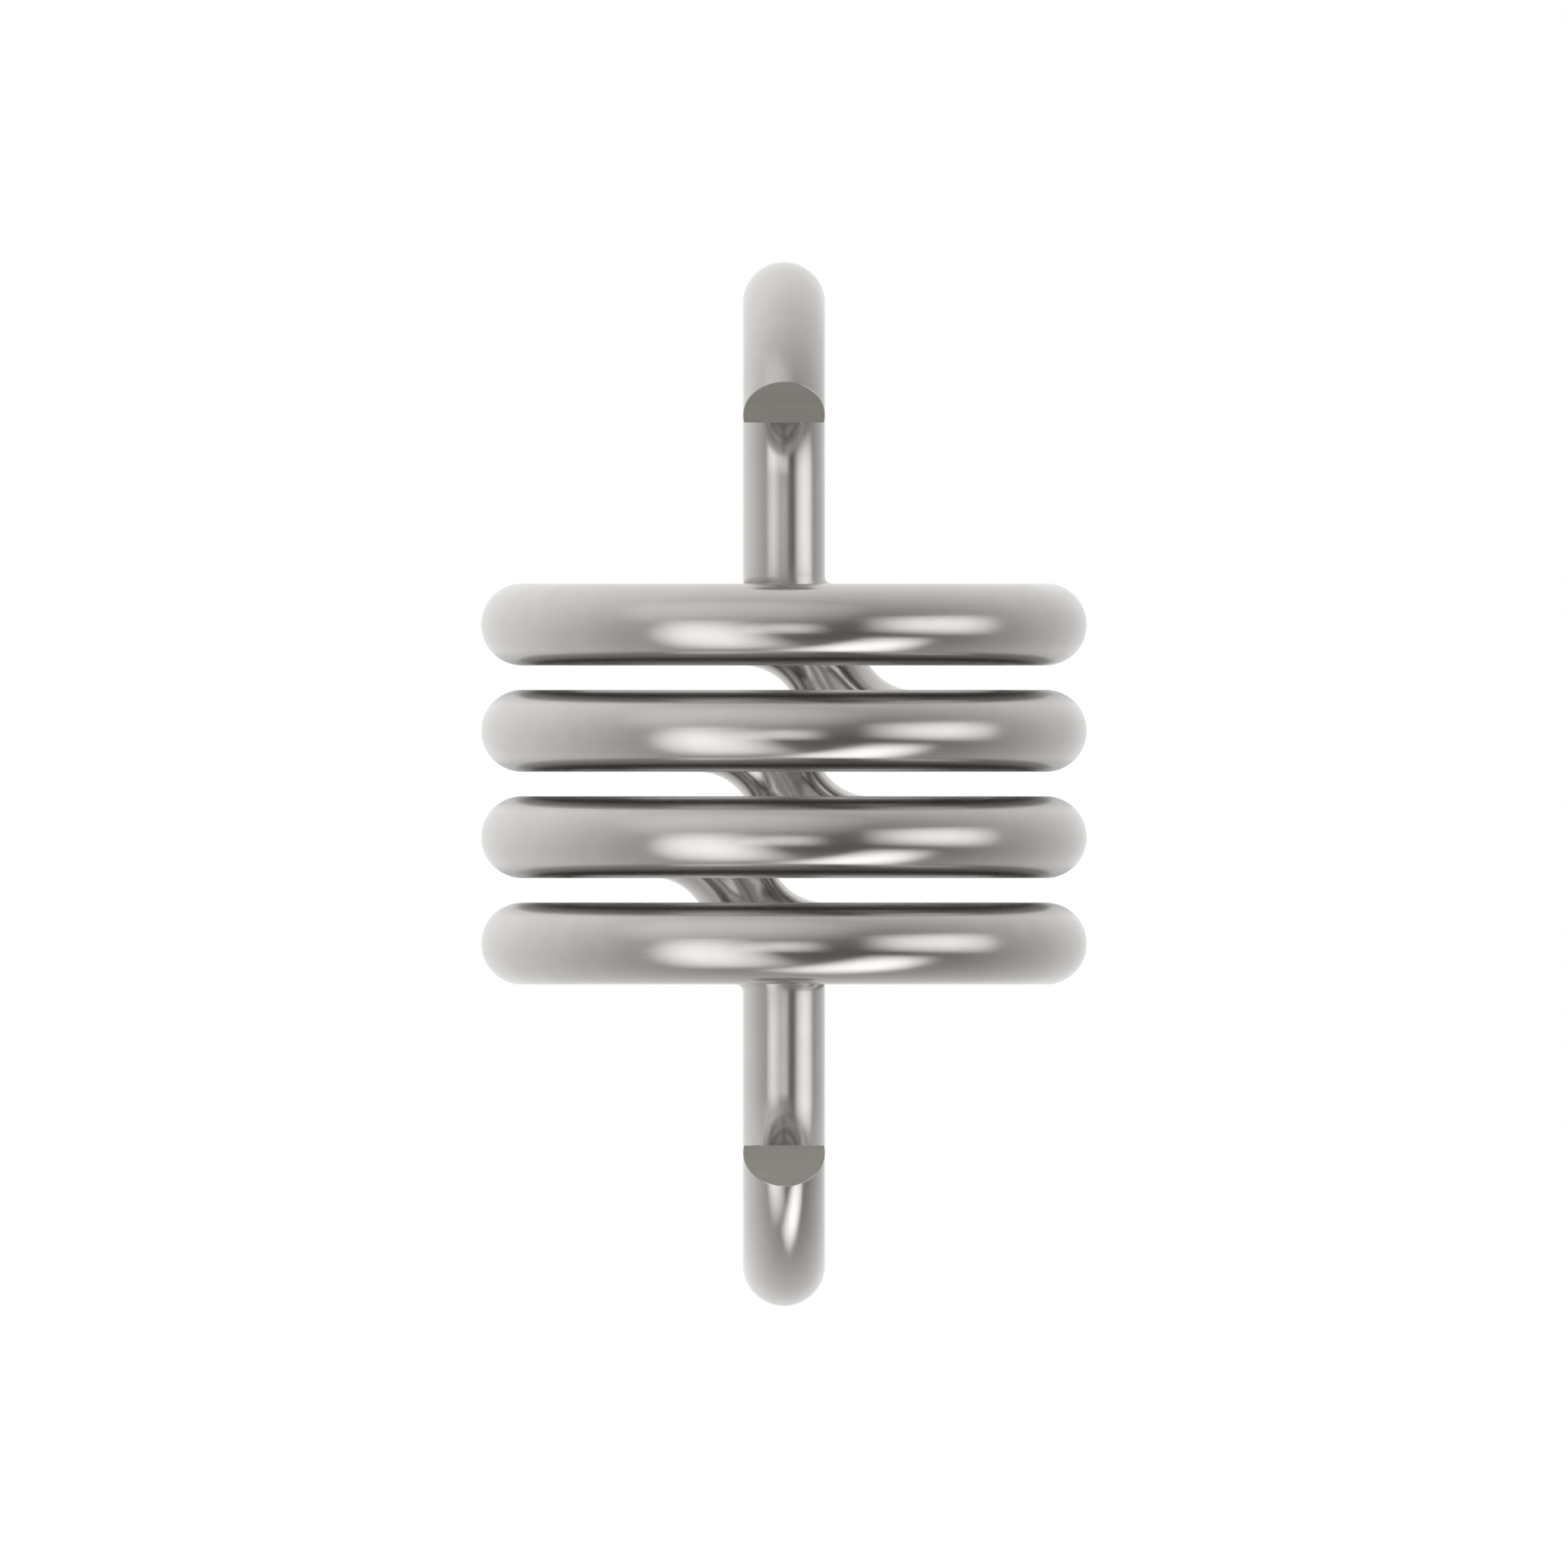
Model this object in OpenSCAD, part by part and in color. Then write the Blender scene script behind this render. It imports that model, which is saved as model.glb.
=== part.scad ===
// Extension spring: four flat turns of round wire joined by short crossovers at the back,
// with an open hook bent up from each end. Origin at the spring's centre, +Z along the coil's
// axis, -Y the side that both hooks open towards. Azimuths count clockwise from the back (+Y),
// seen from above, which is the way a right-hand coil winds down. Millimetres.

/* [Wire] */
// Diameter of the wire
wire_d = 5; // [3:0.1:5]

/* [Coil] */
// Mean diameter of the coil, from wire centre to wire centre
coil_mean_d = 32; // [32:0.5:36]
// Distance between neighbouring turns, centre to centre
pitch = 6.5; // [6.5:0.1:8]

/* [Crossovers] */
// Centreline radius of the two bends in each crossover
crossover_bend_r = 6; // [5:0.1:8]
// Angle between one crossover and the next, so that each clears the one below
crossover_step = 10; // [9:0.5:10.5]

/* [Hooks] */
// Centreline radius of the eye
eye_r = 10.6; // [10.3:0.1:10.7]
// Height of the eye's centre above the centreline of the end turn
eye_rise = 9.05; // [8.5:0.05:20]
// Centreline radius of the bend between the shank and the lead-in
shank_bend_r = 3; // [2.9:0.1:3.1]
// Direction in which the lead-in leaves the shank, counted from +X towards +Y
lead_in_heading = 10; // [8:1:11]

/* [Sheared tips] */
// Height of the tip's level end above the eye's centre
tip_rise = 3.3; // [3:0.1:3.6]
// Slope of the shear cut in front of the level end
shear_angle = 48; // [40:1:55]
// Distance behind the wire's centreline at which the shear cut meets the level end
shear_inset = 0.55; // [0.3:0.05:0.8]

/* [Hidden] */
$fn = 96;

full_turn = 360;
quarter_turn = 90;
coil_r = coil_mean_d / 2;
end_turn_z = 1.5 * pitch;
eye_z = end_turn_z + eye_rise;
bend_start_z = end_turn_z + shank_bend_r;
tip_z = eye_z + tip_rise;
tip_y = shear_inset - sqrt(eye_r ^ 2 - tip_rise ^ 2);

// The bend ends at bend_foot. From there the lead-in is one arc that runs into the end turn's
// circle, so its centre is lead_in_r short of coil_r away from the axis.
bend_foot = [
    shank_bend_r * cos(lead_in_heading),
    eye_r + shank_bend_r * sin(lead_in_heading)
];
heading_right = [sin(lead_in_heading), -cos(lead_in_heading)];
lead_in_r = (coil_r ^ 2 - bend_foot * bend_foot) / (2 * coil_r + 2 * bend_foot * heading_right);
lead_in_centre = bend_foot + lead_in_r * heading_right;
lead_in_azimuth = atan2(lead_in_centre.x, lead_in_centre.y);

// A crossover is two equal bends of opposite hand on the coil's own cylinder.
crossover_slope = acos(1 - pitch / 2 / crossover_bend_r);
crossover_half_run = crossover_bend_r * sin(crossover_slope);
crossover_half_angle = crossover_half_run / coil_r * 180 / PI;
bend_stations = 16;
wire_sides = 32;

// How far the block that cuts a tip reaches, more than any wire or eye
cutter = 40;

// ---- wire shapes ----

module wire_section() {
    circle(d = wire_d);
}

// Part of a flat turn, from one azimuth on to a larger one
module arc_of_wire(radius, azimuth_from, azimuth_to) {
    rotate([0, 0, quarter_turn - azimuth_to])
        rotate_extrude(angle = azimuth_to - azimuth_from)
            translate([radius, 0])
                wire_section();
}

module turn(level_z, azimuth_from, azimuth_to) {
    color("silver")
        translate([0, 0, level_z])
            arc_of_wire(coil_r, azimuth_from, azimuth_to);
}

// Station i of a crossover: [distance along the turn, height, downward slope], from its middle
function crossover_station(i) =
    let (
        side = i <= bend_stations ? -1 : 1,
        steps_in = i <= bend_stations ? i : 2 * bend_stations - i,
        slope = crossover_slope * steps_in / bend_stations
    )
    [
        side * (crossover_half_run - crossover_bend_r * sin(slope)),
        -side * (pitch / 2 - crossover_bend_r * (1 - cos(slope))),
        slope
    ];

// The rim of the wire at a station, square to the wire there
function crossover_rim(station, azimuth, mid_z) =
    let (
        at = azimuth + station[0] / coil_r * 180 / PI,
        outward = [sin(at), cos(at), 0],
        along = [cos(at), -sin(at), 0],
        upward = sin(station[2]) * along + [0, 0, cos(station[2])],
        centre = coil_r * outward + [0, 0, mid_z + station[1]]
    )
    [
        for (k = [0 : wire_sides - 1])
            let (turned = full_turn * k / wire_sides)
            centre + wire_d / 2 * (cos(turned) * outward + sin(turned) * upward)
    ];

module crossover(azimuth, mid_z) {
    last = 2 * bend_stations;
    rims = [for (i = [0 : last]) each crossover_rim(crossover_station(i), azimuth, mid_z)];
    first_cap = [for (k = [0 : wire_sides - 1]) wire_sides - 1 - k];
    last_cap = [for (k = [0 : wire_sides - 1]) last * wire_sides + k];
    walls = [
        for (i = [0 : last - 1], k = [0 : wire_sides - 1])
            let (
                a = i * wire_sides + k,
                b = i * wire_sides + (k + 1) % wire_sides
            )
            each [[a, b, b + wire_sides], [a, b + wire_sides, a + wire_sides]]
    ];
    color("darkgray")
        polyhedron(points = rims, faces = concat([first_cap, last_cap], walls));
}

// Turns what belongs to the upper end into the same piece of the lower end
module at_lower_end() {
    rotate([0, 180, 0])
        children();
}

// ---- upper end ----

// An arc of wire standing in the YZ plane, short of half a ring at the front, where its tip is
// cut off level below and sheared at a slant in front
module upper_eye() {
    color("gainsboro")
        difference() {
            translate([0, 0, eye_z])
                rotate([quarter_turn, 0, quarter_turn])
                    rotate_extrude(angle = full_turn / 2)
                        translate([eye_r, 0])
                            wire_section();
            translate([-cutter / 2, -cutter, tip_z - cutter])
                cube(cutter);
            translate([0, tip_y, tip_z])
                rotate([-shear_angle, 0, 0])
                    translate([-cutter / 2, -cutter / 2, -cutter])
                        cube(cutter);
        }
}

module upper_shank() {
    color("lightgray")
        translate([0, eye_r, bend_start_z])
            cylinder(d = wire_d, h = eye_z - bend_start_z);
}

module upper_bend() {
    color("gray")
        translate([bend_foot.x, bend_foot.y, bend_start_z])
            rotate([quarter_turn, 0, lead_in_heading])
                rotate([0, 0, 2 * quarter_turn])
                    rotate_extrude(angle = quarter_turn)
                        translate([shank_bend_r, 0])
                            wire_section();
}

module upper_lead_in() {
    color("darkgray")
        translate([lead_in_centre.x, lead_in_centre.y, end_turn_z])
            arc_of_wire(lead_in_r, -lead_in_heading, lead_in_azimuth);
}

// ---- coil, from the top down ----

module turn_1() {
    turn(end_turn_z, lead_in_azimuth, full_turn + crossover_step - crossover_half_angle);
}

module crossover_1() {
    crossover(crossover_step, pitch);
}

module turn_2() {
    turn(pitch / 2, crossover_step + crossover_half_angle, full_turn - crossover_half_angle);
}

module crossover_2() {
    crossover(0, 0);
}

module turn_3() {
    at_lower_end()
        turn_2();
}

module crossover_3() {
    crossover(-crossover_step, -pitch);
}

module turn_4() {
    at_lower_end()
        turn_1();
}

// ---- lower end, the upper end turned over ----

module lower_lead_in() {
    at_lower_end()
        upper_lead_in();
}

module lower_bend() {
    at_lower_end()
        upper_bend();
}

module lower_shank() {
    at_lower_end()
        upper_shank();
}

module lower_eye() {
    at_lower_end()
        upper_eye();
}

upper_eye();
upper_shank();
upper_bend();
upper_lead_in();
turn_1();
crossover_1();
turn_2();
crossover_2();
turn_3();
crossover_3();
turn_4();
lower_lead_in();
lower_bend();
lower_shank();
lower_eye();
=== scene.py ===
"""An extension spring of polished round wire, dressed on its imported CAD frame.

The real spring is one length of wire. It is formed here as a spring coiler forms it: one former
feeds and bends the wire from the upper tip to the lower tip, and each length that it makes
becomes one piece, standing for the CAD node of the same stretch.
"""

import logging
import math
from dataclasses import dataclass
from enum import Enum

import bmesh
import bpy
import numpy as np
from mathutils import Matrix, Vector

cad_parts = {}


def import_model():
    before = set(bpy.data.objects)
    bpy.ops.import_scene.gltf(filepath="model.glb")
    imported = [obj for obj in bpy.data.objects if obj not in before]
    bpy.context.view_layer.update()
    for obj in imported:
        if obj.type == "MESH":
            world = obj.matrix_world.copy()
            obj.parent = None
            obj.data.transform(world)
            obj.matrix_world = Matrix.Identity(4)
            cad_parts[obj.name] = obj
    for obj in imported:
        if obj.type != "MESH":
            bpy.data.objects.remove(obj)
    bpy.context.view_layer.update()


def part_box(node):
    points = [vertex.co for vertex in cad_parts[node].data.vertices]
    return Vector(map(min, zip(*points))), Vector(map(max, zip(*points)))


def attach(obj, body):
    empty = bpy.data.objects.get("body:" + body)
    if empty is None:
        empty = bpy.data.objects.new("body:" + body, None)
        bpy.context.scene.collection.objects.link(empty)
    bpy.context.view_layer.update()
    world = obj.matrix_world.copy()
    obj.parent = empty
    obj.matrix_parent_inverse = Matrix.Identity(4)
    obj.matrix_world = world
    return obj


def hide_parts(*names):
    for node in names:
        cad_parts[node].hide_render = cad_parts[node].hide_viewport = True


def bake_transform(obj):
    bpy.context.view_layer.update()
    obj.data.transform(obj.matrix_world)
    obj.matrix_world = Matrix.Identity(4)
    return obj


MM = 0.001
UP = Vector((0.0, 0.0, 1.0))
RIGHT = Vector((1.0, 0.0, 0.0))
FULL_TURN = 360.0
QUARTER_TURN = 90.0
HALF_TURN = 180.0
WHITE = (1.0, 1.0, 1.0, 1.0)
NOISE_LOW = 0.3  # nearly all of a noise texture lies between these two
NOISE_HIGH = 0.7

log = logging.getLogger("spring")


def linear(hex_colour: str) -> tuple[float, float, float, float]:
    """Turns an sRGB hex colour into a linear one.

    Args:
        hex_colour: Six hex digits, with or without a leading #.

    Returns:
        Red, green, blue and an alpha of 1.
    """
    digits = hex_colour.lstrip("#")
    parts = [int(digits[i : i + 2], 16) / 255 for i in (0, 2, 4)]
    red, green, blue = (c / 12.92 if c <= 0.04045 else ((c + 0.055) / 1.055) ** 2.4 for c in parts)
    return red, green, blue, 1.0


def add_node(
    tree: bpy.types.NodeTree, kind: str, inputs: dict[int | str, object], **settings: object
) -> bpy.types.Node:
    """Adds a node, with its settings and its inputs.

    Args:
        tree: The node tree that gets it.
        kind: The node's type.
        inputs: A socket to link from, or a constant, for each input named or numbered.
        **settings: Properties of the node itself.

    Returns:
        The new node.
    """
    node = tree.nodes.new(kind)
    for name, value in settings.items():
        setattr(node, name, value)
    for key, value in inputs.items():
        if isinstance(value, bpy.types.NodeSocket):
            tree.links.new(value, node.inputs[key])
        else:
            node.inputs[key].default_value = value
    return node


def new_material(name: str) -> tuple[bpy.types.Material, bpy.types.NodeTree, bpy.types.Node]:
    """Makes an empty material.

    Args:
        name: The material's name.

    Returns:
        The material, its node tree and its output node.
    """
    material = bpy.data.materials.new(name)
    material.use_nodes = True
    tree = material.node_tree
    tree.nodes.clear()
    return material, tree, tree.nodes.new("ShaderNodeOutputMaterial")


# ---- finishes ----


@dataclass(frozen=True)
class PolishedSpringWire:
    """Bright-drawn stainless spring wire, tumbled to a polish after coiling.

    Drawing through a die leaves faint straight lines along the wire, and tumbling rounds them
    off and clouds them a little, so reflections are clear but soft, and slightly streaked. Where
    the turns face each other, the colour is painted darker, as painted shade between the turns,
    and the wire is made duller there.
    """

    bright: str = "#d3d0cd"
    dull: str = "#c9c6c3"
    roughness: float = 0.17
    streak_roughness: float = 0.025
    cloud_roughness: float = 0.02
    line_width: float = 0.12  # mm. The real lines are a tenth as wide: drawn coarse enough to show
    line_length: float = 18.0  # mm
    line_depth: float = 0.00035  # mm
    cloud_size: float = 2.2  # mm
    # The colour painted where the turns face each other, as painted shade between the turns
    painted_shade_colour: str = "#9f9d9a"
    between_turns_roughness: float = 0.12  # added where the shade between the turns is painted

    def material(self) -> bpy.types.Material:
        """Builds the material. Its lines follow the wire by the UV map, which is in millimetres."""
        material, tree, output = new_material("polished_drawn_stainless_spring_wire")
        along = add_node(tree, "ShaderNodeUVMap", {}, uv_map="wire")
        place = add_node(tree, "ShaderNodeTexCoord", {})
        stretched = add_node(
            tree,
            "ShaderNodeMapping",
            {"Vector": along.outputs[0], "Scale": (1 / self.line_length, 1 / self.line_width, 1.0)},
        )
        lines = add_node(
            tree,
            "ShaderNodeTexNoise",
            {"Vector": stretched.outputs[0], "Scale": 1.0, "Detail": 3.0, "Roughness": 0.6},
            noise_dimensions="2D",
        )
        clouds = add_node(
            tree,
            "ShaderNodeTexNoise",
            {"Vector": place.outputs["Object"], "Scale": 1 / (self.cloud_size * MM), "Detail": 4.0},
        )
        tint = add_node(
            tree,
            "ShaderNodeMix",
            {0: clouds.outputs[0], 6: linear(self.bright), 7: linear(self.dull)},
            data_type="RGBA",
        )
        # Painted shade: the colour darkens towards the shade colour where the turns face each other, by
        # a mesh attribute
        painted_shade = add_node(
            tree, "ShaderNodeAttribute", {}, attribute_name="painted_shade"
        ).outputs["Fac"]
        shaded_tint = add_node(
            tree,
            "ShaderNodeMix",
            {0: painted_shade, 6: tint.outputs[2], 7: linear(self.painted_shade_colour)},
            data_type="RGBA",
        )
        streaked = add_node(
            tree,
            "ShaderNodeMapRange",
            {
                0: lines.outputs[0],
                1: NOISE_LOW,
                2: NOISE_HIGH,
                3: self.roughness - self.streak_roughness,
                4: self.roughness + self.streak_roughness,
            },
        )
        clouded = add_node(
            tree,
            "ShaderNodeMapRange",
            {
                0: clouds.outputs[0],
                1: NOISE_LOW,
                2: NOISE_HIGH,
                3: -self.cloud_roughness,
                4: self.cloud_roughness,
            },
        )
        rough = add_node(
            tree,
            "ShaderNodeMath",
            {0: streaked.outputs[0], 1: clouded.outputs[0]},
            operation="ADD",
        )
        duller = add_node(
            tree,
            "ShaderNodeMath",
            {0: painted_shade, 1: self.between_turns_roughness, 2: rough.outputs[0]},
            operation="MULTIPLY_ADD",
        )
        relief = add_node(
            tree,
            "ShaderNodeBump",
            {"Strength": 1.0, "Distance": self.line_depth * MM, "Height": lines.outputs[0]},
        )
        steel = add_node(
            tree,
            "ShaderNodeBsdfPrincipled",
            {
                "Base Color": shaded_tint.outputs[2],
                "Metallic": 1.0,
                "Roughness": duller.outputs[0],
                "Normal": relief.outputs[0],
            },
        )
        tree.links.new(steel.outputs[0], output.inputs[0])
        return material


@dataclass(frozen=True)
class ShearedSteel:
    """The bare end that the cutter leaves on stainless wire.

    Shearing smears the metal into a fine even grain, so the face is grey and satin, with faint
    bands square to the way the blade went, and it takes no clear reflection.
    """

    bright: str = "#cbc7c2"
    dull: str = "#bcb8b3"
    roughness: float = 0.42
    roughness_spread: float = 0.05
    grain_size: float = 0.15  # mm
    grain_depth: float = 0.004  # mm
    band_height: float = 0.5  # mm
    band_length: float = 25.0  # mm, longer than the face is wide, so that a band crosses it

    def material(self) -> bpy.types.Material:
        """Builds the material. Its grain is solid, and its bands lie across the blade's stroke."""
        material, tree, output = new_material("sheared_stainless_wire_end")
        place = add_node(tree, "ShaderNodeTexCoord", {})
        grain = add_node(
            tree,
            "ShaderNodeTexNoise",
            {"Vector": place.outputs["Object"], "Scale": 1 / (self.grain_size * MM), "Detail": 5.0},
        )
        rise = 1 / (self.band_height * MM)
        flattened = add_node(
            tree,
            "ShaderNodeMapping",
            {
                "Vector": place.outputs["Object"],
                "Scale": (1 / (self.band_length * MM), rise, rise),
            },
        )
        bands = add_node(
            tree,
            "ShaderNodeTexNoise",
            {"Vector": flattened.outputs[0], "Scale": 1.0, "Detail": 2.0},
        )
        tint = add_node(
            tree,
            "ShaderNodeMix",
            {0: bands.outputs[0], 6: linear(self.bright), 7: linear(self.dull)},
            data_type="RGBA",
        )
        rough = add_node(
            tree,
            "ShaderNodeMapRange",
            {
                0: grain.outputs[0],
                1: NOISE_LOW,
                2: NOISE_HIGH,
                3: self.roughness - self.roughness_spread,
                4: self.roughness + self.roughness_spread,
            },
        )
        relief = add_node(
            tree,
            "ShaderNodeBump",
            {"Strength": 0.5, "Distance": self.grain_depth * MM, "Height": grain.outputs[0]},
        )
        steel = add_node(
            tree,
            "ShaderNodeBsdfPrincipled",
            {
                "Base Color": tint.outputs[2],
                "Metallic": 1.0,
                "Roughness": rough.outputs[0],
                "Normal": relief.outputs[0],
            },
        )
        tree.links.new(steel.outputs[0], output.inputs[0])
        return material


@dataclass(frozen=True)
class OpalTable:
    """Back-lit opal acrylic sheet, as the top of a light table: matt, white and even."""

    colour: str = "#f4f4f2"
    roughness: float = 0.6
    glow: float = 0.38

    def material(self) -> bpy.types.Material:
        """Builds the material."""
        material, tree, output = new_material("opal_acrylic_light_table")
        sheet = add_node(
            tree,
            "ShaderNodeBsdfPrincipled",
            {
                "Base Color": linear(self.colour),
                "Roughness": self.roughness,
                "Emission Color": linear(self.colour),
                "Emission Strength": self.glow,
            },
        )
        tree.links.new(sheet.outputs[0], output.inputs[0])
        return material


@dataclass(frozen=True)
class Finishes:
    """The materials that the spring's pieces wear."""

    wire: bpy.types.Material
    sheared: bpy.types.Material


# ---- sizes from the frame ----


@dataclass(frozen=True)
class SpringSizes:
    """The spring's driving sizes, in metres and degrees.

    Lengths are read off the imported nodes, to the nearest hundredth of a millimetre, which is
    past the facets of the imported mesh. Azimuths count clockwise from the back, seen from above.
    """

    wire_r: float
    coil_r: float
    pitch: float
    end_turn_z: float
    eye_z: float
    eye_r: float
    bend_r: float
    heading: float = 10.0
    crossover_bend_r: float = 6.0 * MM
    crossover_step: float = 10.0
    tip_rise: float = 3.3 * MM
    shear_angle: float = 48.0
    shear_inset: float = 0.55 * MM

    @classmethod
    def from_frame(cls) -> "SpringSizes":
        """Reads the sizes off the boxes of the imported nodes.

        Returns:
            The sizes.
        """
        shank_low, shank_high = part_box("upper_shank")
        turn_low, turn_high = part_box("turn_2")
        wire_r = round((shank_high.x - shank_low.x) / 2, 5)
        level = round((turn_low.z + turn_high.z) / 2, 5)
        return cls(
            wire_r=wire_r,
            coil_r=round(turn_high.x, 5) - wire_r,
            pitch=2 * level,
            end_turn_z=3 * level,
            eye_z=round(shank_high.z, 5),
            eye_r=round((shank_low.y + shank_high.y) / 2, 5),
            bend_r=round(shank_low.z, 5) - 3 * level,
        )

    @property
    def heading_dir(self) -> Vector:
        """The way the lead-in leaves the shank, as a level direction."""
        angle = math.radians(self.heading)
        return Vector((math.cos(angle), math.sin(angle), 0.0))

    @property
    def bend_foot(self) -> Vector:
        """Where the upper bend ends and the lead-in starts."""
        return Vector((0.0, self.eye_r, self.end_turn_z)) + self.bend_r * self.heading_dir

    @property
    def lead_in_centre(self) -> Vector:
        """The centre of the upper lead-in's arc, which touches the end turn's circle inside."""
        foot = self.bend_foot.xy
        right = Vector((self.heading_dir.y, -self.heading_dir.x))
        radius = (self.coil_r**2 - foot.length_squared) / (2 * self.coil_r + 2 * foot.dot(right))
        return (foot + radius * right).to_3d() + self.end_turn_z * UP

    @property
    def lead_in_azimuth(self) -> float:
        """The azimuth where the upper lead-in runs into the first turn."""
        return math.degrees(math.atan2(self.lead_in_centre.x, self.lead_in_centre.y))

    @property
    def crossover_slope(self) -> float:
        """The steepest slope of a crossover, in radians."""
        return math.acos(1 - self.pitch / 2 / self.crossover_bend_r)

    @property
    def crossover_half_angle(self) -> float:
        """Half the azimuth that a crossover takes."""
        half_run = self.crossover_bend_r * math.sin(self.crossover_slope)
        return math.degrees(half_run / self.coil_r)


# ---- the wire ----


@dataclass(frozen=True)
class Station:
    """One rim of the wire: its place, with local Z along the wire, and the wire made before it."""

    place: Matrix
    run: float


class WireFormer:
    """Feeds and bends one wire, and gives the stations of each length that it makes."""

    FINEST_STEP = 1.5  # degrees of bend from one station to the next
    STEP_DOWN_STATIONS = 26  # in each of a crossover's two bends

    def __init__(self, start: Matrix) -> None:
        """Starts a wire.

        Args:
            start: The place of the wire's first rim.
        """
        self.now = Station(start, 0.0)

    def _advance(self, stations: list[Station]) -> list[Station]:
        """Keeps the last station as the place where the next length starts."""
        self.now = stations[-1]
        return stations

    def feed(self, length: float) -> list[Station]:
        """Makes a straight length.

        Args:
            length: How long it is, in metres.

        Returns:
            Its first and last station.
        """
        end = Matrix.Translation(self.now.place.col[2].xyz * length) @ self.now.place
        return self._advance([self.now, Station(end, self.now.run + length)])

    def bend(self, centre: Vector, axis: Vector, degrees: float) -> list[Station]:
        """Makes an arc, by turning the wire's end about an axis.

        Args:
            centre: A point on the axis, level with the arc.
            axis: The axis's direction.
            degrees: How far the wire turns, by the right-hand rule.

        Returns:
            The stations, evenly spaced.
        """
        start = self.now
        steps = math.ceil(abs(degrees) / self.FINEST_STEP)
        length = math.radians(abs(degrees)) * (start.place.translation - centre).length
        stations = [start]
        for i in range(1, steps + 1):
            turned = Matrix.Rotation(math.radians(degrees) * i / steps, 4, axis)
            about = Matrix.Translation(centre) @ turned @ Matrix.Translation(-centre)
            stations.append(Station(about @ start.place, start.run + length * i / steps))
        return self._advance(stations)

    def step_down(self, sizes: SpringSizes, azimuth: float, mid_z: float) -> list[Station]:
        """Makes a crossover: two equal bends of opposite hand on the coil's own cylinder.

        Args:
            sizes: The spring's sizes.
            azimuth: The azimuth of its middle.
            mid_z: The height of its middle.

        Returns:
            The stations, evenly spaced.
        """
        start = self.now
        count = self.STEP_DOWN_STATIONS
        bend_r, steepest = sizes.crossover_bend_r, sizes.crossover_slope
        stations = [start]
        for i in range(1, 2 * count + 1):
            side = -1 if i <= count else 1
            slope = steepest * (i if i <= count else 2 * count - i) / count
            along = side * bend_r * (math.sin(steepest) - math.sin(slope))
            height = -side * (sizes.pitch / 2 - bend_r * (1 - math.cos(slope)))
            at = math.radians(azimuth) + along / sizes.coil_r
            outward = Vector((math.sin(at), math.cos(at), 0.0))
            level = Matrix((outward, UP, outward.cross(UP))).transposed().to_4x4()
            level.translation = sizes.coil_r * outward + (mid_z + height) * UP
            place = level @ Matrix.Rotation(slope, 4, "X")
            stations.append(Station(place, start.run + bend_r * steepest * i / count))
        return self._advance(stations)


class End(Enum):
    """Which end of the spring a hook belongs to."""

    UPPER = "upper"
    LOWER = "lower"


@dataclass(frozen=True)
class TipCut:
    """One flat that the cutter leaves on a tip."""

    point: Vector
    outward: Vector


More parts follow.
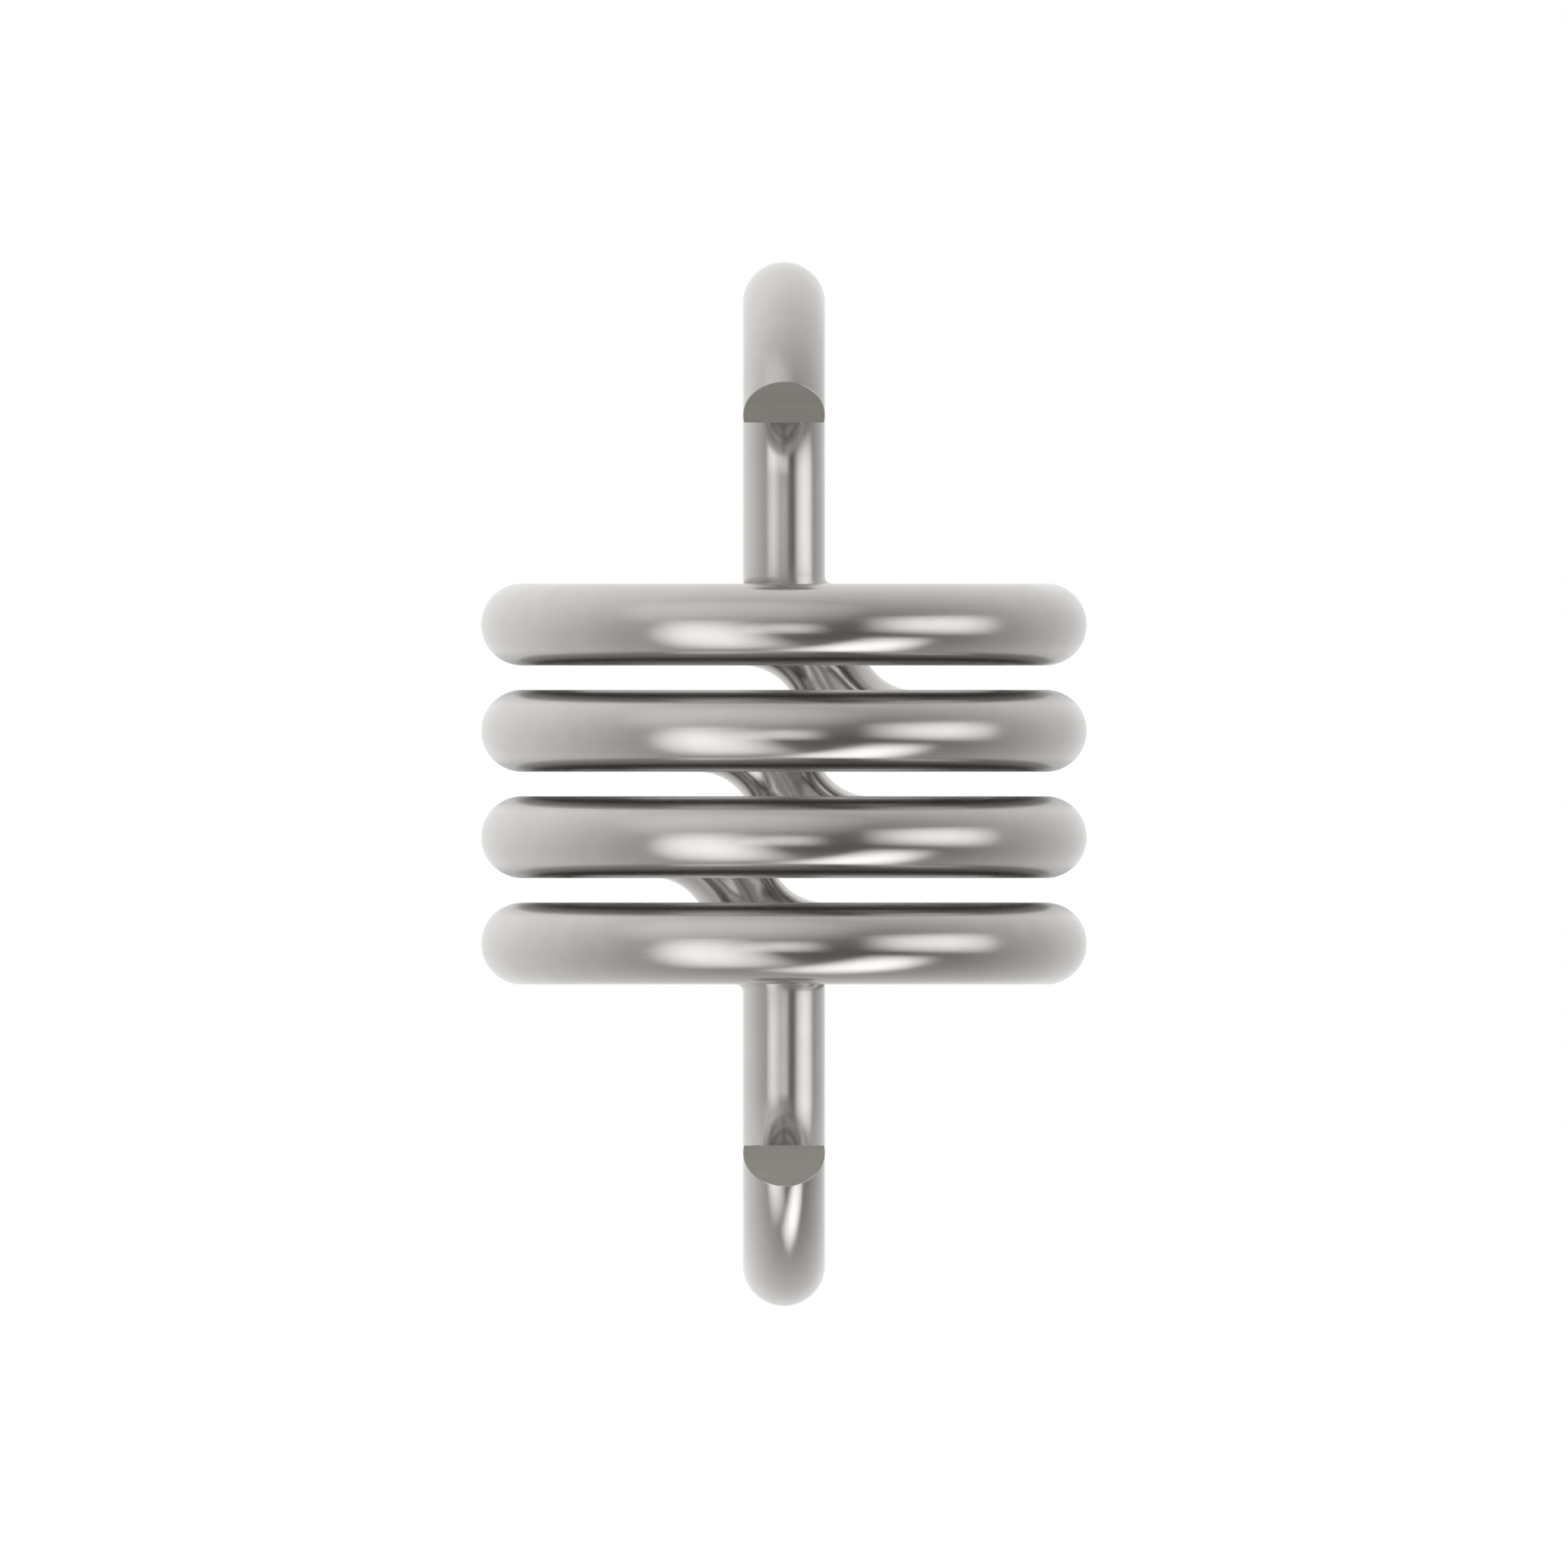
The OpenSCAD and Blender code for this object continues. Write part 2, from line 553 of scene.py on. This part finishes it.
@dataclass
class WirePiece:
    """One length of the wire, as a closed mesh, and whether a turn lies above or below it."""

    name: str
    stations: list[Station]
    wire_r: float
    finishes: Finishes
    turn_above: bool = False
    turn_below: bool = False

    SIDES = 96
    EDGE_ROUNDING = 0.04 * MM  # how far the cutter rounds the edge of a tip
    EDGE_SEGMENTS = 2
    SLIVER = 0.03 * MM  # corners closer than this, left where the cut crosses the rims, are joined
    RIM_REACH = 1.5  # wire radii from a rim's centre within which a vertex may belong to it
    WALL_FIT = 0.002 * MM  # how near a vertex of the round wall lies to the wire's radius
    WALL_FACING = 0.7  # how squarely a face of the round wall looks outwards, at least
    # Painted shade between the turns: where it starts, where it is full, and how it fades at a turn's
    # ends
    SHADE_STARTS = 0.60  # how far a surface tips up or down towards its neighbour before painted shade starts on it
    SHADE_FULL = 0.92
    SHADE_FADE = 6.0  # mm from each end of a turn over which it fades, so that no seam shows

    def build(self, cuts: tuple[TipCut, ...] = ()) -> bpy.types.Object:
        """Builds the piece.

        Args:
            cuts: The flats on its tip, if it has one.

        Returns:
            The finished object, with its place in its mesh.
        """
        shape = bmesh.new()
        self._sweep(shape)
        if cuts:
            self._shear(shape, cuts)
        bmesh.ops.recalc_face_normals(shape, faces=shape.faces)
        mesh = bpy.data.meshes.new(self.name)
        shape.to_mesh(mesh)
        shape.free()
        mesh.materials.append(self.finishes.wire)
        mesh.materials.append(self.finishes.sheared)
        self._smooth(mesh)
        piece = bpy.data.objects.new(self.name, mesh)
        bpy.context.scene.collection.objects.link(piece)
        return piece

    def _sweep(self, shape: bmesh.types.BMesh) -> None:
        """Draws a rim at every station, joins each to the next and closes both ends.

        Args:
            shape: The empty bmesh that gets the wire.
        """
        rims = []
        for station in self.stations:
            made = bmesh.ops.create_circle(
                shape, cap_ends=False, radius=self.wire_r, segments=self.SIDES, matrix=station.place
            )
            rims.append(list(dict.fromkeys(edge for vert in made["verts"] for edge in vert.link_edges)))
        for near, far in zip(rims, rims[1:]):
            bmesh.ops.bridge_loops(shape, edges=near + far)
        for rim in (rims[0], rims[-1]):
            bmesh.ops.edgeloop_fill(shape, edges=rim)

    def _shear(self, shape: bmesh.types.BMesh, cuts: tuple[TipCut, ...]) -> None:
        """Cuts the flats on a tip, and rounds their edges.

        Args:
            shape: The closed wire of an eye, whose front half has the tip.
            cuts: The flats.
        """
        for cut in cuts:
            front = [vert for vert in shape.verts if vert.co.y < 0]
            edges = dict.fromkeys(edge for vert in front for edge in vert.link_edges)
            faces = dict.fromkeys(face for vert in front for face in vert.link_faces)
            bmesh.ops.bisect_plane(
                shape,
                geom=[*front, *edges, *faces],
                plane_co=cut.point,
                plane_no=cut.outward,
                clear_outer=True,
            )
            rim = [edge for edge in shape.edges if edge.is_boundary]
            bmesh.ops.edgeloop_fill(shape, edges=rim, mat_nr=1)
        bmesh.ops.remove_doubles(shape, verts=shape.verts, dist=self.SLIVER)
        cut_faces = [face for face in shape.faces if face.material_index]
        sharp = list(dict.fromkeys(edge for face in cut_faces for edge in face.edges))
        bmesh.ops.bevel(
            shape,
            geom=sharp,
            clamp_overlap=True,
            offset=self.EDGE_ROUNDING,
            segments=self.EDGE_SEGMENTS,
            affect="EDGES",
            profile=0.5,
            material=-1,
        )

    def _smooth(self, mesh: bpy.types.Mesh) -> None:
        """Gives the wall the true normals of a round wire, its painted shade between the turns and a UV
        map.

        Each length would otherwise guess the normals of its end rims from one side only, and the
        reflections would break where two lengths meet.

        Args:
            mesh: The piece's mesh.
        """
        radial, wrap = self._unwrap(mesh)
        reach = np.linalg.norm(radial, axis=1, keepdims=True)
        radial /= np.maximum(reach, self.WALL_FIT)
        # Painted shade between the turns, kept as a mesh attribute for the wire's colour
        painted_shade_amount = self._painted_shade(radial[:, 2], wrap[:, 0])
        mesh.attributes.new("painted_shade", "FLOAT", "POINT").data.foreach_set("value", painted_shade_amount)
        self._write_loops(mesh, radial, abs(reach[:, 0] - self.wire_r) < self.WALL_FIT, wrap)

    def _unwrap(self, mesh: bpy.types.Mesh) -> tuple[np.ndarray, np.ndarray]:
        """Finds where each vertex lies on the wire, by the station nearest to it along the wire.

        Args:
            mesh: The piece's mesh.

        Returns:
            Each vertex's offset from the centreline, and its place along and round the wire, in
            millimetres.
        """
        points = np.empty(len(mesh.vertices) * 3)
        mesh.vertices.foreach_get("co", points)
        points = points.reshape(-1, 3)
        nearest = np.full(len(points), np.inf)
        radial = np.zeros_like(points)
        wrap = np.zeros((len(points), 2))
        for station in self.stations:
            across, upward, along, centre = (np.array(c.xyz) for c in station.place.col)
            offset = points - centre
            past = offset @ along
            close = np.linalg.norm(offset, axis=1) < self.RIM_REACH * self.wire_r
            better = close & (abs(past) < nearest)
            nearest[better] = abs(past[better])
            radial[better] = offset[better] - np.outer(past[better], along)
            around = np.arctan2(offset[better] @ upward, offset[better] @ across)
            wrap[better, 0] = station.run / MM + past[better] / MM
            wrap[better, 1] = around * self.wire_r / MM
        return radial, wrap

    def _painted_shade(self, tip: np.ndarray, run: np.ndarray) -> np.ndarray:
        """Works out how much shade is painted on each vertex where it faces the next turn.

        Args:
            tip: How far the surface tips up or down at each vertex, from -1 to 1.
            run: Each vertex's place along the wire, in millimetres.

        Returns:
            0 where no shade is painted, and 1 where the painted shade is full.
        """
        depth = (abs(tip) - self.SHADE_STARTS) / (self.SHADE_FULL - self.SHADE_STARTS)
        depth = np.clip(depth, 0.0, 1.0)
        depth = depth**2 * (3 - 2 * depth)
        depth *= np.where(tip > 0, self.turn_above, self.turn_below)
        first, last = self.stations[0].run / MM, self.stations[-1].run / MM
        from_end = np.minimum(run - first, last - run)
        return depth * np.clip(from_end / self.SHADE_FADE, 0.0, 1.0)

    def _write_loops(
        self, mesh: bpy.types.Mesh, radial: np.ndarray, on_wall: np.ndarray, wrap: np.ndarray
    ) -> None:
        """Writes each face corner's normal and UV.

        Args:
            mesh: The piece's mesh.
            radial: Each vertex's direction out of the wire.
            on_wall: Whether each vertex lies on the wire's round wall.
            wrap: Each vertex's place along and round the wire, in millimetres.
        """
        girth = 2 * math.pi * self.wire_r / MM
        layer = mesh.uv_layers.new(name="wire")
        normals = [Vector()] * len(mesh.loops)
        for face in mesh.polygons:
            face.use_smooth = True
            ids = [mesh.loops[i].vertex_index for i in face.loop_indices]
            facing = [face.normal.dot(Vector(radial[v])) for v in ids]
            round_wall = all(on_wall[v] for v in ids) and min(facing) > self.WALL_FACING
            first = wrap[ids[0], 1]
            for i, v in zip(face.loop_indices, ids):
                normals[i] = Vector(radial[v]) if round_wall else face.normal.copy()
                turns = round((wrap[v, 1] - first) / girth)
                layer.data[i].uv = (wrap[v, 0], wrap[v, 1] - turns * girth)
        mesh.normals_split_custom_set(normals)


# ---- sub-assemblies ----


@dataclass
class Hook:
    """One end of the spring: an open eye with a sheared tip, a shank, a sharp bend and a lead-in.

    The lower hook is the upper one turned half a turn about Y, and its wire runs the other way.
    """

    sizes: SpringSizes
    finishes: Finishes
    body: str
    end: End

    def _placed(self, point: Vector) -> Vector:
        """Takes a point or direction of the upper hook to this hook."""
        return point if self.end is End.UPPER else Vector((-point.x, point.y, -point.z))

    def _cuts(self) -> tuple[TipCut, ...]:
        """The level end of this hook's tip, and the slanted shear in front of it."""
        sizes = self.sizes
        tilt = math.radians(sizes.shear_angle)
        middle = math.sqrt(sizes.eye_r**2 - sizes.tip_rise**2)
        corner = self._placed(Vector((0.0, sizes.shear_inset - middle, sizes.eye_z + sizes.tip_rise)))
        slant = Vector((0.0, -math.sin(tilt), -math.cos(tilt)))
        return TipCut(corner, self._placed(-UP)), TipCut(corner, self._placed(slant))

    def start(self) -> Matrix:
        """The place of the wire's first rim, which lies just past the tip and is cut away."""
        ahead = self.sizes.heading_dir
        across = Vector((-ahead.y, -ahead.x, 0.0))
        place = Matrix((across, UP.cross(across), UP)).transposed().to_4x4()
        place.translation = Vector((0.0, -self.sizes.eye_r, self.sizes.eye_z))
        return place

    def form(self, former: WireFormer) -> list[bpy.types.Object]:
        """Forms this hook's lengths in the order in which the wire reaches them.

        Args:
            former: The former, at this hook's tip or at the end of the last turn.

        Returns:
            The finished pieces.
        """
        lengths = {
            "eye": self._eye,
            "shank": self._shank,
            "bend": self._bend,
            "lead_in": self._lead_in,
        }
        order = list(lengths) if self.end is End.UPPER else list(reversed(lengths))
        return [self._dress(part, lengths[part](former)) for part in order]

    def _dress(self, part: str, stations: list[Station]) -> bpy.types.Object:
        """Builds one length, ties it to its body and hides its CAD node.

        Args:
            part: The length's name.
            stations: The rims that it passes through.

        Returns:
            The finished piece.
        """
        node = f"{self.end.value}_{part}"
        piece = WirePiece(f"{node}_wire", stations, self.sizes.wire_r, self.finishes)
        made = piece.build(self._cuts() if part == "eye" else ())
        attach(made, self.body)
        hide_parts(node)
        return made

    def _eye(self, former: WireFormer) -> list[Station]:
        """Half a ring, standing in the YZ plane, before its front is cut off at the tip."""
        return former.bend(self._placed(self.sizes.eye_z * UP), RIGHT, -HALF_TURN)

    def _shank(self, former: WireFormer) -> list[Station]:
        """The straight leg behind the axis."""
        return former.feed(self.sizes.eye_z - self.sizes.end_turn_z - self.sizes.bend_r)

    def _bend(self, former: WireFormer) -> list[Station]:
        """The sharp bend between the shank and the plane of the end turn."""
        ahead = self.sizes.heading_dir
        centre = self._placed(self.sizes.bend_foot + self.sizes.bend_r * UP)
        axis = Vector((ahead.y, -ahead.x if self.end is End.UPPER else ahead.x, 0.0))
        return former.bend(centre, axis, QUARTER_TURN)

    def _lead_in(self, former: WireFormer) -> list[Station]:
        """The arc inside the coil between the bend and the end turn."""
        turned = self.sizes.heading + self.sizes.lead_in_azimuth
        return former.bend(self._placed(self.sizes.lead_in_centre), UP, -turned)


@dataclass
class Coil:
    """The four flat turns, and the crossovers that step down between them at the back."""

    sizes: SpringSizes
    finishes: Finishes
    bodies: tuple[str, str, str, str] = ("upper_end", "second_turn", "third_turn", "lower_end")

    def crossover_azimuths(self) -> list[float]:
        """The azimuth of each crossover's middle, each one a step behind the last."""
        return [self.sizes.crossover_step, 0.0, -self.sizes.crossover_step]

    def form(self, former: WireFormer) -> list[bpy.types.Object]:
        """Forms the turns and crossovers, from the top down.

        Args:
            former: The former, at the end of the upper lead-in.

        Returns:
            The finished pieces.
        """
        sizes = self.sizes
        half = sizes.crossover_half_angle
        azimuths = self.crossover_azimuths()
        starts = [sizes.lead_in_azimuth] + [azimuth + half for azimuth in azimuths]
        ends = [FULL_TURN + azimuth - half for azimuth in azimuths]
        ends.append(FULL_TURN - sizes.lead_in_azimuth)
        made = []
        for i, (first, last) in enumerate(zip(starts, ends)):
            made.append(self._turn(former, i, last - first))
            if i < len(azimuths):
                made.append(self._crossover(former, i, azimuths[i]))
        return made

    def _turn(self, former: WireFormer, i: int, span: float) -> bpy.types.Object:
        """Forms one flat turn.

        Args:
            former: The former, at the turn's start.
            i: The turn's number from the top, from 0.
            span: The azimuth that it takes.

        Returns:
            The finished piece.
        """
        level = Vector((0.0, 0.0, self.sizes.end_turn_z - i * self.sizes.pitch))
        stations = former.bend(level, UP, -span)
        node = f"turn_{i + 1}"
        turn = WirePiece(
            f"{node}_wire",
            stations,
            self.sizes.wire_r,
            self.finishes,
            turn_above=i > 0,
            turn_below=i < len(self.bodies) - 1,
        ).build()
        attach(turn, self.bodies[i])
        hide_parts(node)
        return turn

    def _crossover(self, former: WireFormer, i: int, azimuth: float) -> bpy.types.Object:
        """Forms one crossover, which lies between the turns that it joins and belongs to no body.

        Args:
            former: The former, at the crossover's start.
            i: The number of the turn above it, from 0.
            azimuth: The azimuth of its middle.

        Returns:
            The finished piece.
        """
        sizes = self.sizes
        stations = former.step_down(sizes, azimuth, (1 - i) * sizes.pitch)
        node = f"crossover_{i + 1}"
        crossover = WirePiece(f"{node}_wire", stations, sizes.wire_r, self.finishes).build()
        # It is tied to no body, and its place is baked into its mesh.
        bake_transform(crossover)
        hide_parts(node)
        return crossover


# ---- studio ----


def direction(azimuth: float, elevation: float) -> Vector:
    """The direction from the spring to a place in the studio.

    Args:
        azimuth: Degrees from the lens towards the right.
        elevation: Degrees up from level.

    Returns:
        A unit vector.
    """
    turn = math.radians(azimuth)
    rise = math.radians(elevation)
    return Vector((math.sin(turn) * math.cos(rise), -math.cos(turn) * math.cos(rise), math.sin(rise)))


@dataclass(frozen=True)
class Softbox:
    """One rectangular softbox, aimed at the spring.

    Azimuth counts from the lens towards the right, and elevation up from level, in degrees.
    Width and height are in metres. Glow is how bright its cloth is, where white paper is 1.
    """

    name: str
    azimuth: float
    elevation: float
    width: float
    height: float
    glow: float

    HUMP_PEAK = 0.25  # x times 1 - x, at the middle of a side

    def hang(self, distance: float) -> bpy.types.Object:
        """Hangs the softbox.

        Args:
            distance: How far it hangs from the spring.

        Returns:
            The light.
        """
        out = direction(self.azimuth, self.elevation)
        data = bpy.data.lights.new(self.name, "AREA")
        data.shape = "RECTANGLE"
        data.size = self.width
        data.size_y = self.height
        data.energy = self.glow * math.pi * self.width * self.height
        self._soften(data)
        light = bpy.data.objects.new(self.name, data)
        light.location = distance * out
        light.rotation_euler = out.to_track_quat("Z", "Y").to_euler()
        light.visible_camera = False
        bpy.context.scene.collection.objects.link(light)
        return light

    def _soften(self, data: bpy.types.Light) -> None:
        """Makes the cloth bright in its middle and dark at its rim, as with one bulb behind it.

        Args:
            data: The light's data.
        """
        data.use_nodes = True
        tree = data.node_tree
        tree.nodes.clear()
        across = add_node(tree, "ShaderNodeNewGeometry", {}).outputs["Parametric"]
        rest = add_node(
            tree, "ShaderNodeVectorMath", {0: (1.0, 1.0, 1.0), 1: across}, operation="SUBTRACT"
        )
        hump = add_node(
            tree, "ShaderNodeVectorMath", {0: across, 1: rest.outputs[0]}, operation="MULTIPLY"
        )
        sides = add_node(tree, "ShaderNodeSeparateXYZ", {0: hump.outputs[0]}).outputs
        product = add_node(
            tree, "ShaderNodeMath", {0: sides[0], 1: sides[1]}, operation="MULTIPLY"
        )
        level = add_node(
            tree,
            "ShaderNodeMath",
            {0: product.outputs[0], 1: 1 / self.HUMP_PEAK**2},
            operation="MULTIPLY",
        )
        cloth = add_node(tree, "ShaderNodeEmission", {"Strength": level.outputs[0]})
        add_node(tree, "ShaderNodeOutputLight", {0: cloth.outputs[0]})


@dataclass
class Studio:
    """A white sweep behind the spring, a dim room behind the lens, and a few softboxes.

    Lengths are in metres, and glows are parts of white paper's.
    """

    room_glow: float = 0.14
    sweep_glow: float = 1.0
    softbox_distance: float = 0.5
    view_width: float = 95.86 * MM
    camera_distance: float = 0.4
    table_drop: float = 55.0 * MM
    table_r: float = 0.7
    table_sides: int = 96
    nearest_seen: float = 0.01
    furthest_seen: float = 5.0

    SOFTBOXES = (
        Softbox("key_softbox", -30, -30, 0.45, 0.95, 1.2),
        Softbox("top_softbox", -20, 35, 1.00, 0.70, 0.3),
        Softbox("front_softbox", 0, -10, 0.30, 0.30, 0.8),
        Softbox("right_softbox", 60, 0, 0.60, 0.45, 1.1),
        Softbox("low_right_softbox", 50, -60, 0.30, 0.60, 1.6),
    )
    # From the darkest part of the room, low on the lens's right, towards the brightest
    FILL_AXIS = (-0.35, 0.80, 0.40)

    def light(self) -> None:
        """Builds the world, white to the camera and a plain fill to the metal, and the softboxes."""
        world = bpy.data.worlds.new("studio")
        bpy.context.scene.world = world
        world.use_nodes = True
        tree = world.node_tree
        tree.nodes.clear()
        ray = add_node(tree, "ShaderNodeTexCoord", {}).outputs["Generated"]
        axis = Vector(self.FILL_AXIS).normalized()
        reach = add_node(tree, "ShaderNodeVectorMath", {0: ray, 1: axis}, operation="DOT_PRODUCT")
        glow = add_node(
            tree,
            "ShaderNodeMapRange",
            {0: reach.outputs["Value"], 1: -1.0, 2: 1.0, 3: self.room_glow, 4: self.sweep_glow},
        )
        fill = add_node(tree, "ShaderNodeBackground", {"Color": WHITE, "Strength": glow.outputs[0]})
        paper = add_node(tree, "ShaderNodeBackground", {"Color": WHITE, "Strength": 1.0})
        path = add_node(tree, "ShaderNodeLightPath", {})
        seen = add_node(
            tree,
            "ShaderNodeMixShader",
            {0: path.outputs["Is Camera Ray"], 1: fill.outputs[0], 2: paper.outputs[0]},
        )
        add_node(tree, "ShaderNodeOutputWorld", {0: seen.outputs[0]})
        for softbox in self.SOFTBOXES:
            softbox.hang(self.softbox_distance)

    def lay_table(self) -> bpy.types.Object:
        """Lays the light table under the spring, out of the metal's sight.

        Returns:
            The table's top.
        """
        shape = bmesh.new()
        level = Matrix.Translation((0.0, 0.0, -self.table_drop))
        bmesh.ops.create_circle(
            shape, cap_ends=True, radius=self.table_r, segments=self.table_sides, matrix=level
        )
        mesh = bpy.data.meshes.new("light_table")
        shape.to_mesh(mesh)
        shape.free()
        mesh.materials.append(OpalTable().material())
        table = bpy.data.objects.new("light_table", mesh)
        bpy.context.scene.collection.objects.link(table)
        table.visible_glossy = False
        return table

    def set_camera(self) -> bpy.types.Object:
        """Sets the camera square to the front, as a long lens sees it.

        Returns:
            The camera.
        """
        data = bpy.data.cameras.new("camera")
        data.type = "ORTHO"
        data.ortho_scale = self.view_width
        data.clip_start = self.nearest_seen
        data.clip_end = self.furthest_seen
        camera = bpy.data.objects.new("camera", data)
        camera.location = (0.0, -self.camera_distance, 0.0)
        camera.rotation_euler = (math.radians(QUARTER_TURN), 0.0, 0.0)
        bpy.context.scene.collection.objects.link(camera)
        bpy.context.scene.camera = camera
        return camera


def main() -> None:
    """Builds the studio and the spring, in the order in which the wire is formed."""
    logging.basicConfig(level=logging.INFO, format="%(name)s: %(message)s")
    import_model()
    bpy.context.scene.view_settings.view_transform = "Standard"
    studio = Studio()
    studio.set_camera()
    studio.light()
    studio.lay_table()
    sizes = SpringSizes.from_frame()
    finishes = Finishes(PolishedSpringWire().material(), ShearedSteel().material())
    upper = Hook(sizes, finishes, "upper_end", End.UPPER)
    lower = Hook(sizes, finishes, "lower_end", End.LOWER)
    former = WireFormer(upper.start())
    for part in (upper, Coil(sizes, finishes), lower):
        for piece in part.form(former):
            log.info("%s: %d faces", piece.name, len(piece.data.polygons))
    log.info("wire used: %.1f mm", former.now.run / MM)


if __name__ == "__main__":
    main()
